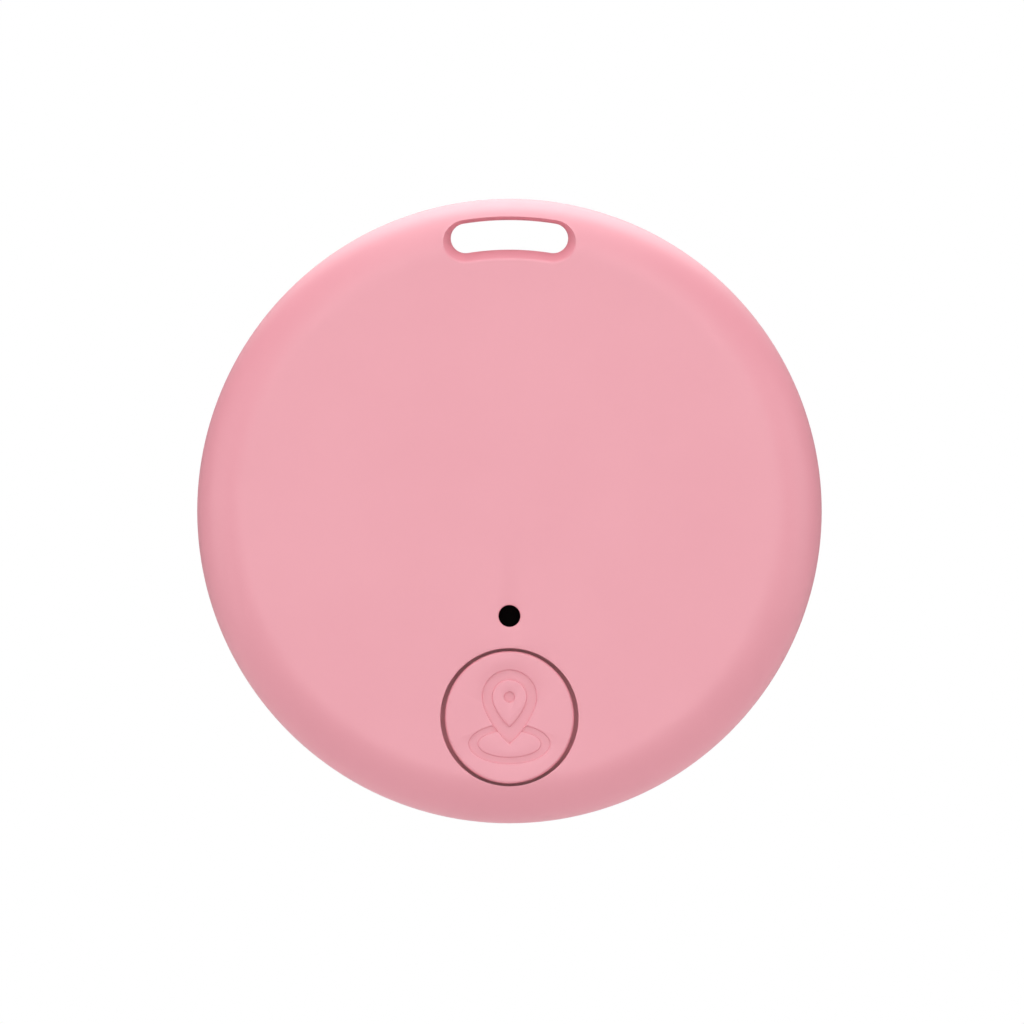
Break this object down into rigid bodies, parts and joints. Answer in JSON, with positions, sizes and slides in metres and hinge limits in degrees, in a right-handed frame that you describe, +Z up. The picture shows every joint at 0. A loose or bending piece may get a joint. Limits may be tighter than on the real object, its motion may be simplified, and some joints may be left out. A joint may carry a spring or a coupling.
{
  "type": "bluetooth tracker tag",
  "caption": "Round tracker tag with a lanyard slot near the rim, a sound hole, a push button with a sunken map-pin pictogram and a removable rear cover over its coin cell.",
  "frame": {"origin": "the bearing point of a cord in the lanyard slot: on the slot's outer wall, above the disc's centre, halfway through the thickness", "axes": "+Z up through the slot as the tag hangs, +Y from the front face to the rear face, +X to the right seen from the front"},
  "size_m": [0.038, 0.0082, 0.038],
  "materials": {
    "pink_plastic": "satin",
    "black_mesh": "matte",
    "clear_adhesive": "satin",
    "black_foam": "matte",
    "grey_silicone": "matte",
    "tray_plastic": "satin",
    "black_resin": "satin",
    "board_laminate": "satin",
    "cell_steel": "gloss",
    "spring_steel": "gloss",
    "gold_plate": "gloss",
    "brass": "satin",
    "piezo_ceramic": "satin",
    "crystal_can": "gloss",
    "capacitor_ceramic": "satin",
    "tantalum_resin": "satin",
    "antenna_ceramic": "satin",
    "ferrite": "matte",
    "nylon_gasket": "satin",
    "lithium": "matte",
    "manganese_oxide": "matte",
    "separator_fleece": "matte",
    "red_sleeve": "satin",
    "black_sleeve": "satin"
  },
  "bodies": {
    "case": {"front_shell": "pink_plastic", "cover_seal": "grey_silicone", "mesh_adhesive": "clear_adhesive", "sound_mesh": "black_mesh", "buzzer_adhesive": "clear_adhesive", "buzzer_plate": "brass", "buzzer_ceramic": "piezo_ceramic", "buzzer_lead_plate": "black_sleeve", "buzzer_lead_ceramic": "red_sleeve", "cell_can": "cell_steel", "cell_gasket": "nylon_gasket", "cell_cap": "cell_steel", "cell_cathode": "manganese_oxide", "cell_separator": "separator_fleece", "cell_anode": "lithium", "cell_tray": "tray_plastic", "negative_contact": "spring_steel", "positive_contact_upper": "gold_plate", "positive_contact_lower": "gold_plate", "circuit_board": "board_laminate", "bluetooth_chip": "black_resin", "radio_crystal": "crystal_can", "clock_crystal": "crystal_can", "chip_antenna": "antenna_ceramic", "matching_inductor": "ferrite", "matching_capacitor": "capacitor_ceramic", "decoupling_capacitor_1": "capacitor_ceramic", "decoupling_capacitor_2": "capacitor_ceramic", "decoupling_capacitor_3": "capacitor_ceramic", "decoupling_capacitor_4": "capacitor_ceramic", "resistor_1": "black_resin", "resistor_2": "black_resin", "bulk_capacitor": "tantalum_resin", "boost_inductor": "ferrite", "drive_transistor": "black_resin", "switch_base": "black_resin", "switch_dome": "spring_steel", "switch_cover": "spring_steel"},
    "button": {"button_cap": "pink_plastic"},
    "plunger": {"switch_plunger": "tray_plastic"},
    "cover": {"rear_cover": "pink_plastic", "cell_pad": "black_foam"}
  },
  "joints": [
    {"name": "button_press", "type": "slide", "parent": "case", "child": "button", "axis": [0, 1, 0], "range_m": [0, 0.00025], "stiffness_N_per_m": 800, "springref_m": -0.001},
    {"name": "plunger_press", "type": "slide", "parent": "case", "child": "plunger", "axis": [0, 1, 0], "range_m": [0, 0.00025], "deforming": ["switch_dome"]},
    {"name": "rear_cover_release", "type": "slide", "parent": "case", "child": "cover", "axis": [0, 1, 0], "range_m": [0, 0.012]}
  ],
  "couplings": [
    {"joint": "plunger_press", "follows": "button_press", "ratio": 1}
  ]
}
